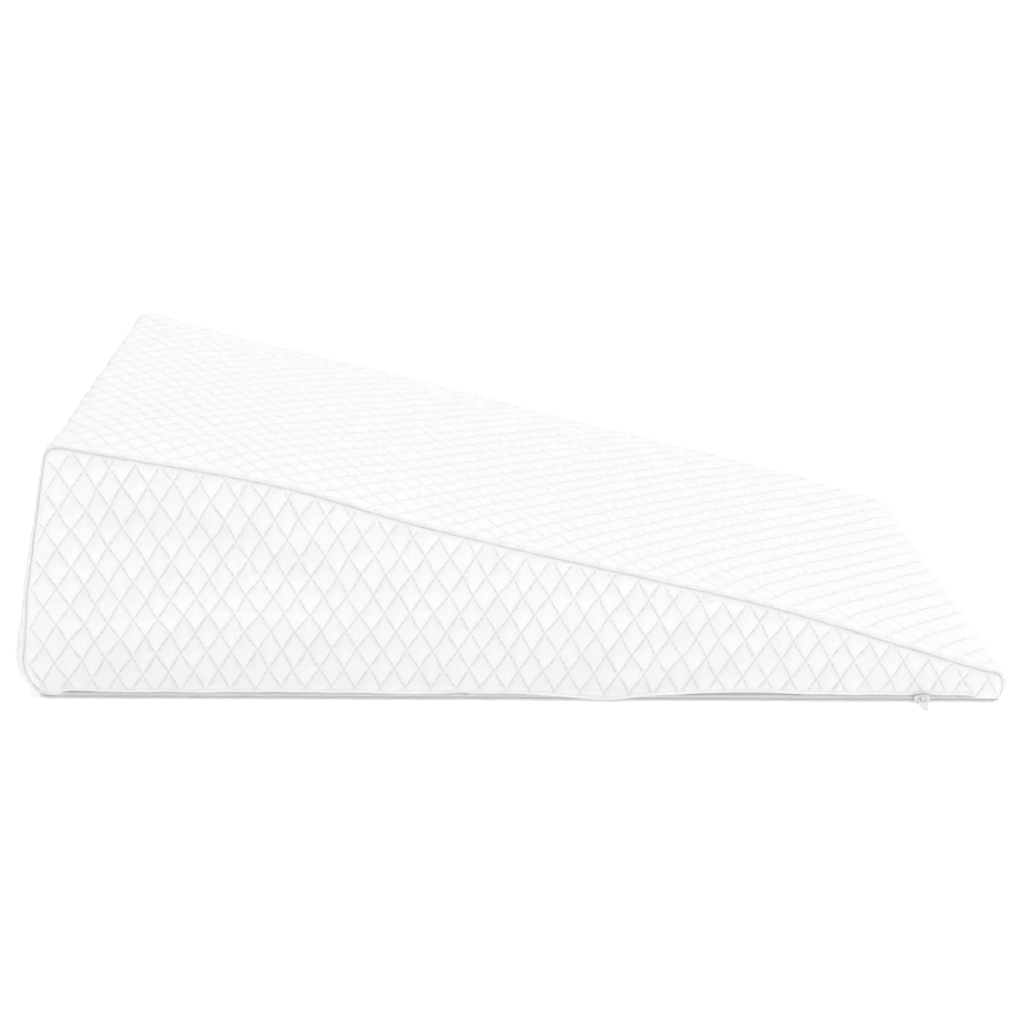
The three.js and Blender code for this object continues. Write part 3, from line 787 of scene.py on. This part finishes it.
def sew(name, points, ways, shows, fineness, offset, sides, rings, used=None):
    """The stitches along a quilted grid's lines, each a short raised thread between two holes."""
    rows, columns = points.shape[:2]
    step = fineness / STITCHES_A_SIDE
    starts = []
    row = np.arange(0, rows - 1 - step, step)
    for way in (1, -1):
        for line in range(-rows - columns, rows + columns):
            if (line + way * offset) % (2 * fineness):
                continue
            # Along this line column + way * row stays at the same number
            column = line - way * row
            ahead = column - way * step
            ok = (np.minimum(column, ahead) >= 0) & (np.maximum(column, ahead) <= columns - 1)
            starts.append(np.stack([row[ok], column[ok], row[ok] + step, ahead[ok]], 1))
    ends = np.concatenate(starts)
    inset = (1 - STITCH_SHARE) / 2
    share = np.linspace(inset, 1 - inset, rings)
    at = [ends[:, [k]] + share * (ends[:, [k + 2]] - ends[:, [k]]) for k in (0, 1)]
    near = tuple(np.rint(place).astype(int) for place in at)
    visible = shows[near].min(1) > SHOWS_STITCHES
    if used is not None:
        visible &= used[near].all(1)
    paths = between(points, *(place[visible] for place in at))
    up = ways[tuple(place[visible, rings // 2] for place in near)]
    arch = 1 - (2 * np.linspace(0, 1, rings) - 1) ** 2
    lift = THREAD_RADIUS * (1.6 * arch - 0.1)
    paths = paths + up[:, None] * lift[None, :, None]
    radii = THREAD_RADIUS * (0.75 + 0.25 * arch)
    made, faces = rods(paths, radii, up, sides)
    return new_piece(name, made, faces, THREAD)


def between(points, row, column):
    """Points of a grid at places between its rows and columns."""
    r = np.clip(np.floor(row).astype(int), 0, points.shape[0] - 2)
    c = np.clip(np.floor(column).astype(int), 0, points.shape[1] - 2)
    s, t = (row - r)[..., None], (column - c)[..., None]
    return ((1 - s) * (1 - t) * points[r, c] + s * (1 - t) * points[r + 1, c]
            + (1 - s) * t * points[r, c + 1] + s * t * points[r + 1, c + 1])


cover, cover_points, cover_ways, cover_shows = make_cover()
half_rows = (cover_points.shape[0] - 1) // 2
cover_thread = sew(
    "cover_stitches", cover_points, cover_ways, cover_shows, WRAP_FINENESS, -half_rows, 3, 2,
)


# The side panels

HEM_WAVES = (
    # place along, how far the hem hangs below or above its usual height, and over what length
    (55 * MM, -2.6 * MM, 30 * MM),
    (140 * MM, 1.0 * MM, 40 * MM),
    (-40 * MM, -0.3 * MM, 60 * MM),
    (-270 * MM, 0.8 * MM, 20 * MM),
)


def past_zip(x):
    return np.maximum(ZIP_START - x, x - ZIP_END)


def near_hem(x):
    height = np.full(np.shape(x), NEAR_HEM)
    for place, lift, length in HEM_WAVES:
        height = height + lift * np.exp(-((x - place) / length) ** 2)
    return height + (FLOOR_SEAM - height) * smooth(past_zip(x) / ZIP_END_FOLD + 1)


def far_hem(x):
    return np.full(np.shape(x), FLOOR_SEAM)


def wander(x, z):
    """How far the sewing strays from its even diamonds, along the panel and up it."""
    return (WANDER * unevenness(x, z, WANDER_SIZE, seed, 6) for seed in (51, 52))


def panel_phases(x, z):
    aside, up = wander(x, z)
    u = (x - PANEL_SHIFT - z * PANEL_LEAN - aside) / PANEL_PITCH_ALONG
    v = (z - curve_height(x, ROW_PLACES, ROW_RISES) - up) / PANEL_PITCH_UP
    return u + v, u - v


def panel_grid(fineness):
    """A grid of plane points that follows a side panel's stitch lines, and its index range."""
    across = math.ceil(LENGTH / PANEL_PITCH_ALONG) * fineness + fineness
    columns = np.arange(-across, across + 1)
    rows = np.arange(-fineness * 2, math.ceil(HEIGHT / PANEL_PITCH_UP) * 2 * fineness + fineness)
    u, v = np.meshgrid(
        columns * PANEL_PITCH_ALONG / 2 / fineness, rows * PANEL_PITCH_UP / 2 / fineness,
    )
    x, z = u + PANEL_SHIFT, v
    for _ in range(GRID_ROUNDS):
        aside, up = wander(x, z)
        z = v + curve_height(x, ROW_PLACES, ROW_RISES) + up
        x = u + PANEL_SHIFT + z * PANEL_LEAN + aside
    return np.stack([x, z], -1), rows[0], columns[0]


def rolled(distance, radius):
    """How far an edge of a rounded sheet lies back, at a distance in from its rim."""
    return radius * (1 - np.sqrt(1 - np.clip(1 - distance / radius, 0, 1) ** 2))


class PanelFace:
    """The face of a side panel: how far out each place of it lies, and how the quilting shows."""

    def __init__(self, side, hem):
        seam = seam_line(outline, side, SEAM_GAP)
        self.side, self.hem = side, hem
        self.seam = seam[seam[:, 1] > hem(seam[:, 0]) + 0.2 * MM]
        x = np.linspace(self.seam[-1, 0], self.seam[0, 0], 400)[1:-1]
        self.edge = np.concatenate([self.seam, np.stack([x, hem(x)], 1)])

    def at(self, x, z):
        flat = np.stack([x.ravel(), z.ravel()], 1)
        to_seam = nearest_on(self.seam, flat)[0].reshape(x.shape)
        to_hem = np.maximum(z - self.hem(x), 0)
        shows = smooth(to_seam / QUILT_START) * smooth((to_hem - HEM_STITCH) / (3 * MM) + 0.4)
        uneven = 1 + PANEL_VARIES * unevenness(x, z, PUFF_VARIES, 11 + self.side)
        rise = PUFF * uneven * shows * puff(*panel_phases(x, z))
        swell = PANEL_SWELL * smooth(to_seam / PANEL_SWELL_REACH)
        wrinkle = PANEL_WRINKLE * unevenness(x, z, PANEL_WRINKLE_SIZE, 21 + self.side)
        wrinkle *= smooth(to_seam / (8 * MM))
        pucker = puckers(x, to_seam, PANEL_PUCKER, PANEL_PUCKER_SIZE, 31)
        zipped = self.side < 0
        slack = np.maximum(0, NEAR_HEM - HEM_SLACK_FROM - self.hem(x)) * zipped
        slack *= 1 - 0.55 * smooth(past_zip(x) / ZIP_END_FOLD + 1)
        droop = slack * HEM_DROOP * np.exp(-to_hem / HEM_DROOP_REACH)
        over_zip = ZIP_COVER * zipped * np.exp(-to_hem / ZIP_COVER_REACH)
        over_zip *= smooth(to_seam / ZIP_COVER_REACH)
        folds = rolled(to_seam, SEAM_ROLL) + rolled(to_hem, HEM_ROLL)
        out = PANEL_BACK + PANEL_THICKNESS + swell + rise + wrinkle + pucker
        out = out + droop + over_zip - folds
        front = np.stack([x, self.side * out, z], -1)
        settled = moved_by_filling(front) * smooth(to_seam / SETTLE_EDGE)[..., None]
        return front + settled, shows, to_hem


def make_side_panel(name, side, fineness, hem):
    face = PanelFace(side, hem)
    grid, first_row, first_column = panel_grid(fineness)
    shape = grid.shape[:2]
    cells = grid_faces(*shape, splits_on_lines(fineness, first_row + first_column))
    plane, faces, loop = cut_to_outline(grid, face.edge, cells)
    x, z = plane.T
    a, b = panel_phases(x, z)
    front, shows, to_hem = face.at(x, z)
    back = front[loop].copy()
    rim = np.abs(back[:, 1])
    depth = np.maximum(PANEL_BACK, rim - PANEL_THICKNESS + SEAM_ROLL * 0.5)
    back[:, 1] = side * np.minimum(depth, rim - 0.1 * MM)
    attributes = [
        ("lattice", np.stack([a, b, shows], 1)),
        ("cloth", np.stack([x, z, to_hem], 1)),
    ]
    piece = sheet_piece(name, front, faces, loop, back, QUILTED, attributes)
    used = np.zeros(len(front), bool)
    used[np.unique(faces)] = True
    ways = np.broadcast_to([0, side, 0], (*shape, 3))
    sewn = sew(
        name + "_stitches", front.reshape(*shape, 3), ways, shows.reshape(shape), fineness,
        first_row + first_column, 4, 3, used.reshape(shape),
    )
    return piece, sewn, face


def sew_hem(name, face):
    """A row of stitches along a side panel's hem."""
    x0, x1 = face.seam[0, 0] + 3 * MM, face.seam[-1, 0] - 12 * MM
    starts = np.arange(x0, x1, HEM_STITCH_LENGTH)
    rings = 4
    share = np.linspace(0.1, 0.9, rings)
    x = starts[:, None] + share * HEM_STITCH_LENGTH
    paths, _, _ = face.at(x, face.hem(x) + HEM_STITCH)
    arch = np.sin(np.pi * np.linspace(0, 1, rings))
    paths[..., 1] += face.side * THREAD_RADIUS * (arch - 0.3)
    ups = np.broadcast_to([0.0, face.side, 0], (len(paths), 3))
    points, faces = rods(paths, THREAD_RADIUS * (0.75 + 0.25 * arch), ups, 4)
    return new_piece(name, points, faces, THREAD)


near_panel, near_thread, near_face = make_side_panel("side_panel_near_cloth", -1, 9, near_hem)
far_panel, far_thread, far_face = make_side_panel("side_panel_far_cloth", 1, 6, far_hem)
near_hem_thread = sew_hem("side_panel_near_hem_stitches", near_face)
far_hem_thread = sew_hem("side_panel_far_hem_stitches", far_face)


# The base panel

BASE_CELL = 4 * MM
BASE_ROLL = 0.5 * MM
BASE_FOLD = 4.4 * MM
BASE_FOLD_TOP = 1.3 * MM


def make_base():
    low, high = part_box("base_panel")
    x0, x1 = low.x, high.x
    y0, y1 = low.y - BASE_FOLD, high.y
    corners = (
        (x0 + 3 * MM, y0 + 3 * MM, 3 * MM, math.pi),
        (x1 - TIP_CORNER_NEAR, y0 + TIP_CORNER_NEAR, TIP_CORNER_NEAR, 1.5 * math.pi),
        (x1 - TIP_CORNER_FAR, y1 - TIP_CORNER_FAR, TIP_CORNER_FAR, 0),
        (x0 + 3 * MM, y1 - 3 * MM, 3 * MM, 0.5 * math.pi),
    )
    edge = []
    for x, y, radius, start in corners:
        for turn in np.linspace(start, start + math.pi / 2, 10):
            edge.append((x + radius * math.cos(turn), y + radius * math.sin(turn)))
    edge = np.array(edge)
    xs = np.arange(x0 - BASE_CELL, x1 + 2 * BASE_CELL, BASE_CELL)
    ys = np.arange(y0 - BASE_CELL, y1 + 2 * BASE_CELL, BASE_CELL)
    grid = np.stack(np.meshgrid(xs, ys), -1)
    cells = grid_faces(len(ys), len(xs), lambda r, c: (r + c) % 2 == 0)
    plane, faces, loop = cut_to_outline(grid, edge, cells)
    distance, _ = nearest_on(np.vstack([edge, edge[:1]]), plane)
    x, y = plane.T
    roll = rolled(distance, BASE_ROLL) * 0.6
    front = np.stack([x, y, roll], 1)
    back = front[loop].copy()
    back[:, 1] = np.maximum(back[:, 1], low.y)
    back[:, 2] = BASE_THICKNESS
    middle = front[loop].copy()
    middle[:, 2] = BASE_FOLD_TOP
    attributes = [("cloth", np.stack([x, y, x * 0], 1))]
    piece = sheet_piece("base_cloth", front, faces, loop, back, PLAIN, attributes, middle)
    return piece, edge


base, base_edge = make_base()


# The zip

COIL_PITCH = 1.2 * MM
COIL_WIRE = 0.34 * MM
COIL_LIFT = 0.12 * MM
TAPE_WAVE = 0.1 * MM
CORD_RADIUS = 0.6 * MM
PLATE_DEPTH = 2.4 * MM
CROWN_WIRE = 0.5 * MM
CROWN_WIDENED = 2.2
RIDGE_RADIUS = 0.28 * MM
RIB_RADIUS = 0.62 * MM
PULL_LENGTH = 13.4 * MM
PULL_THICKNESS = 1 * MM
PULL_HANG_HEIGHT = 2.9 * MM


def make_tape(name, node):
    low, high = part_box(node)
    columns = 280
    x = np.linspace(low.x, high.x, columns)
    bevel = 0.25 * MM
    wave = TAPE_WAVE * unevenness(x, 0, 30 * MM, 41)
    foot, back_foot = (1.55 * MM, 1.98 * MM) if low.z < 1 * MM else (low.z, low.z)
    tops = np.full(columns, high.z)
    if low.z > 1 * MM:
        tops = np.maximum(near_hem(x) - 0.1 * MM, low.z + 3 * bevel)
    rings = []
    for px, w, top in zip(x, wave, tops):
        section = (
            (low.y + bevel, foot), (high.y, back_foot), (high.y, top), (low.y + bevel, top),
            (low.y, top - bevel), (low.y, (foot + top) / 2), (low.y, foot + bevel),
        )
        rings.append([(px, y, z + w) for y, z in section])
    rings = np.array(rings)
    count = rings.shape[1]
    points = rings.reshape(-1, 3)
    ends = np.arange(count), np.arange(len(points) - count, len(points))
    faces = [*tube_quads(columns, count), *ends]
    cloth = np.stack([points[:, 0], points[:, 2] + points[:, 1], points[:, 0] * 0], 1)
    return new_piece(name, points, faces, TAPE, [("cloth", cloth)], shade_smooth=False)


def make_coil():
    """Two rows of turns that lock into each other along the middle."""
    low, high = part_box("zip_coil")
    middle = (low.z + high.z) / 2 + COIL_LIFT
    half = (high.z - low.z) / 2 - COIL_WIRE - 0.24 * MM
    face = low.y + COIL_WIRE
    back = high.y - COIL_WIRE
    place = np.arange(low.x + COIL_PITCH, high.x - COIL_PITCH, COIL_PITCH)
    paths = []
    for side, shift in ((1, 0), (-1, COIL_PITCH / 2)):
        reach = np.array([1.0, 0.98, 0.78, 0.0, -0.3, -0.34])
        depth = np.array([0.0, 0.6, 0.95, 1.0, 0.7, 0.1])
        lean = np.array([-0.24, -0.2, -0.08, 0.05, 0.1, 0.1]) * COIL_PITCH
        x = place[:, None] + shift + lean
        y = back + (face - back) * depth
        z = middle + side * half * reach
        paths.append(np.stack(np.broadcast_arrays(x, y, z), -1))
    paths = np.concatenate(paths)
    ups = np.broadcast_to([1.0, 0, 0], (len(paths), 3))
    turns, turn_faces = rods(paths, np.full(paths.shape[1], COIL_WIRE), ups, 6)
    # The cord that the turns are sewn over
    x = np.linspace(low.x, high.x, 300)
    centre = [(place, back, middle) for place in x]
    cord, cord_faces = rod(centre, CORD_RADIUS, (0, 0, 1), 8)
    cord[:, 2] = middle + (cord[:, 2] - middle) * (half / CORD_RADIUS)
    points = np.concatenate([turns, cord])
    faces = np.concatenate([turn_faces, cord_faces + len(turns)])
    return new_piece("zip_coil_turns", points, faces, NYLON)


def cut_plate(name, outlines, thickness, bevel):
    """A plate with rounded edges, cut to closed outlines: the first is its rim, and the others
    are holes in it. It lies in its own XY plane, around z = 0."""
    data = bpy.data.curves.new(name, "CURVE")
    data.dimensions = "2D"
    data.fill_mode = "BOTH"
    data.extrude = thickness / 2 - bevel
    data.bevel_depth = bevel
    data.bevel_resolution = 3
    data.offset = -bevel
    data.resolution_u = 6
    for outline_points in outlines:
        spline = data.splines.new("BEZIER")
        spline.bezier_points.add(len(outline_points) - 1)
        for knot, (x, y) in zip(spline.bezier_points, outline_points):
            knot.co = (x, y, 0)
            knot.handle_left_type = knot.handle_right_type = "VECTOR"
        spline.use_cyclic_u = True
    shape = add_object(name, data)
    bpy.context.view_layer.update()
    graph = bpy.context.evaluated_depsgraph_get()
    mesh = bpy.data.meshes.new_from_object(shape.evaluated_get(graph))
    bpy.data.objects.remove(shape)
    work = bmesh.new()
    work.from_mesh(mesh)
    bmesh.ops.remove_doubles(work, verts=work.verts, dist=0.005 * MM)
    bmesh.ops.recalc_face_normals(work, faces=work.faces)
    points = np.array([v.co for v in work.verts])
    faces = [[v.index for v in face.verts] for face in work.faces]
    work.free()
    bpy.data.meshes.remove(mesh)
    return points, faces


def rounded(corners, radius, steps=5):
    """A closed outline through corners, each cut round with a radius or less."""
    corners = [np.array(corner, float) for corner in corners]
    points = []
    for k, corner in enumerate(corners):
        before, after = corners[k - 1] - corner, corners[(k + 1) % len(corners)] - corner
        reach = min(radius, 0.45 * np.hypot(*before), 0.45 * np.hypot(*after))
        start = corner + before / np.hypot(*before) * reach
        end = corner + after / np.hypot(*after) * reach
        for t in np.linspace(0, 1, steps):
            points.append((1 - t) ** 2 * start + 2 * t * (1 - t) * corner + t ** 2 * end)
    return points


def make_slider():
    """The slider's front plate, its ridges, and the arched crown that carries the pull."""
    low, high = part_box("zip_slider")
    middle = (low.z + high.z) / 2
    half, tall = (high.x - low.x) / 2, (high.z - low.z) / 2
    x0 = (low.x + high.x) / 2
    rim = [(-half, -0.68 * tall), (0.96 * MM, -tall), (3.84 * MM, -tall), (half, -0.7 * tall),
           (half, 0.7 * tall), (3.84 * MM, tall), (0.96 * MM, tall), (-half, 0.68 * tall)]
    plate, faces = cut_plate("slider_plate", [rounded(rim, 1.2 * MM)], PLATE_DEPTH, 0.5 * MM)
    # The plate's own Z axis points out of the pillow
    turned = (x0 + plate[:, 0], high.y - PLATE_DEPTH / 2 - plate[:, 2], middle + plate[:, 1])
    points = [np.stack(turned, 1)]
    turn = np.linspace(0, math.pi, 15)
    reach = high.y - low.y - PLATE_DEPTH - CROWN_WIRE
    rise = 1.9 * MM - CROWN_WIRE
    arch = np.stack([
        np.full(15, x0),
        high.y - PLATE_DEPTH + 0.4 * MM - (reach + 0.4 * MM) * np.sin(turn) ** 0.6,
        middle + rise * np.cos(turn),
    ], 1)
    wire, wire_faces = rod(arch, CROWN_WIRE, (1, 0, 0), 10)
    wire[:, 0] = x0 + (wire[:, 0] - x0) * CROWN_WIDENED
    faces = faces + (wire_faces + len(plate)).tolist()
    points.append(wire)
    count = len(plate) + len(wire)
    front = high.y - PLATE_DEPTH
    steps = np.linspace(0, 2, 9)
    for z in (-0.8 * tall, 0.8 * tall):
        bends = np.array([
            [x0 - 2.4 * MM, front, middle + z * 0.8],
            [x0 + 0.6 * MM, front, middle + z],
            [x0 + 3.4 * MM, front, middle + z],
        ])
        path = np.stack([np.interp(steps, (0, 1, 2), bends[:, k]) for k in range(3)], 1)
        ridge, ridge_faces = rod(path, RIDGE_RADIUS, (0, -1, 0), 8)
        points.append(ridge)
        faces = faces + (ridge_faces + count).tolist()
        count += len(ridge)
    return new_piece("zip_slider_body", np.concatenate(points), faces, METAL)


def make_pull():
    """The pull: a flat tab with an eye around the crown, and a shallow rib down to its tip."""
    low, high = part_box("zip_pull")
    x0 = (low.x + high.x) / 2
    length, thick = PULL_LENGTH, PULL_THICKNESS
    rim = [(-1.9 * MM, 0), (1.9 * MM, 0), (2.7 * MM, 0.8 * MM), (2.7 * MM, 4.4 * MM),
           (1 * MM, length), (-1 * MM, length), (-2.7 * MM, 4.4 * MM), (-2.7 * MM, 0.8 * MM)]
    hole = [(-1.7 * MM, 1 * MM), (-1.7 * MM, 3.5 * MM), (1.7 * MM, 3.5 * MM), (1.7 * MM, 1 * MM)]
    outlines = [rounded(rim, 1 * MM), rounded(hole, 0.6 * MM)]
    tab, faces = cut_plate("pull_tab", outlines, thick, 0.25 * MM)
    rib_path = [(0, t, 0) for t in np.linspace(4.6 * MM, length - 1.6 * MM, 12)]
    rib, rib_faces = rod(rib_path, RIB_RADIUS, (0, 0, 1), 10)
    rib[:, 2] *= 1.05
    tilt = math.asin((PULL_HANG_HEIGHT - thick / 2 - GAP) / length)
    root = Vector((x0, high.y - thick / 2 * math.sin(tilt), PULL_HANG_HEIGHT))
    local = np.concatenate([tab, rib])
    points = np.stack([
        root.x + local[:, 0],
        root.y - local[:, 1] * math.cos(tilt) + local[:, 2] * math.sin(tilt),
        root.z - local[:, 1] * math.sin(tilt) - local[:, 2] * math.cos(tilt),
    ], 1)
    points[:, 2] = np.maximum(points[:, 2], 0.1 * MM)
    faces = faces + (rib_faces + len(tab)).tolist()
    return new_piece("zip_pull_tab", points, faces, METAL)


tape_lower = make_tape("zip_tape_lower_cloth", "zip_tape_lower")
tape_upper = make_tape("zip_tape_upper_cloth", "zip_tape_upper")
coil = make_coil()
slider = make_slider()
pull = make_pull()

for piece, node, slot in (
    (cover, "quilted_wedge", "quilted_knit"),
    (near_panel, "side_panel_near", "quilted_knit"),
    (far_panel, "side_panel_far", "quilted_knit"),
    (base, "base_panel", "plain_knit"),
    (tape_lower, "zip_tape_lower", "zip_tape"),
    (tape_upper, "zip_tape_upper", "zip_tape"),
    (coil, "zip_coil", "zip_coil"),
    (slider, "zip_slider", "zip_metal"),
    (pull, "zip_pull", "zip_metal"),
):
    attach(piece, "root")
    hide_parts(node)

for piece in (cover_thread, near_thread, far_thread, near_hem_thread, far_hem_thread):
    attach(piece, "root")


# The floor, the light and the camera

WORLD_STRENGTH = 0.48
OVERHEAD_STRENGTH = 2.06
FRONT_STRENGTH = 0.66
FLOOR_GLOW = 0.3
FLOOR_REACH = 14


def make_floor():
    reach = FLOOR_REACH
    mesh = bpy.data.meshes.new("floor")
    corners = [(-reach, -reach, 0), (reach, -reach, 0), (reach, reach, 0), (-reach, reach, 0)]
    mesh.from_pydata(corners, [], [(0, 1, 2, 3)])
    pale = Finish("floor_white", white(0.94, 0), 0.9, Emission_Strength=FLOOR_GLOW)
    mesh.materials.append(pale.material)
    floor = add_object("floor", mesh)


def make_light():
    world = bpy.data.worlds.new("studio")
    world.use_nodes = True
    background = world.node_tree.nodes["Background"]
    background.inputs["Color"].default_value = (1, 1, 1, 1)
    background.inputs["Strength"].default_value = WORLD_STRENGTH
    bpy.context.scene.world = world
    add_light("overhead", OVERHEAD_STRENGTH, 70, Vector((0.5, 0.6, 3)))
    add_light("front", FRONT_STRENGTH, 40, Vector((0.1, -3, 0.65)))


def add_light(name, strength, width, place):
    """A soft light that comes from a place and is as wide as an angle in degrees."""
    data = bpy.data.lights.new(name, "SUN")
    data.angle = math.radians(width)
    data.energy = strength
    light = add_object(name, data)
    light.location = place
    light.rotation_euler = (-place).to_track_quat("-Z", "Y").to_euler()


CAMERA_PLACE = Vector((-36.5 * MM, -1448.15 * MM, 467.6 * MM))
CAMERA_YAW = math.radians(1.64)
CAMERA_PITCH = math.radians(15.673)
CAMERA_ROLL = math.radians(0.8)
CAMERA_LENS = 77.8


def make_camera():
    yaw, pitch, roll = CAMERA_YAW, CAMERA_PITCH, CAMERA_ROLL
    flat = math.cos(pitch)
    forward = Vector((math.sin(yaw) * flat, math.cos(yaw) * flat, -math.sin(pitch)))
    level = Vector((math.cos(yaw), -math.sin(yaw), 0))
    upright = level.cross(forward)
    right = level * math.cos(roll) + upright * math.sin(roll)
    up = upright * math.cos(roll) - level * math.sin(roll)
    data = bpy.data.cameras.new("camera")
    data.lens = CAMERA_LENS
    data.sensor_width = 36
    camera = add_object("camera", data)
    axes = Matrix((right, up, -forward)).transposed().to_4x4()
    camera.matrix_world = Matrix.Translation(CAMERA_PLACE) @ axes
    bpy.context.scene.camera = camera


make_floor()
make_light()
make_camera()
bpy.context.scene.view_settings.view_transform = "Standard"
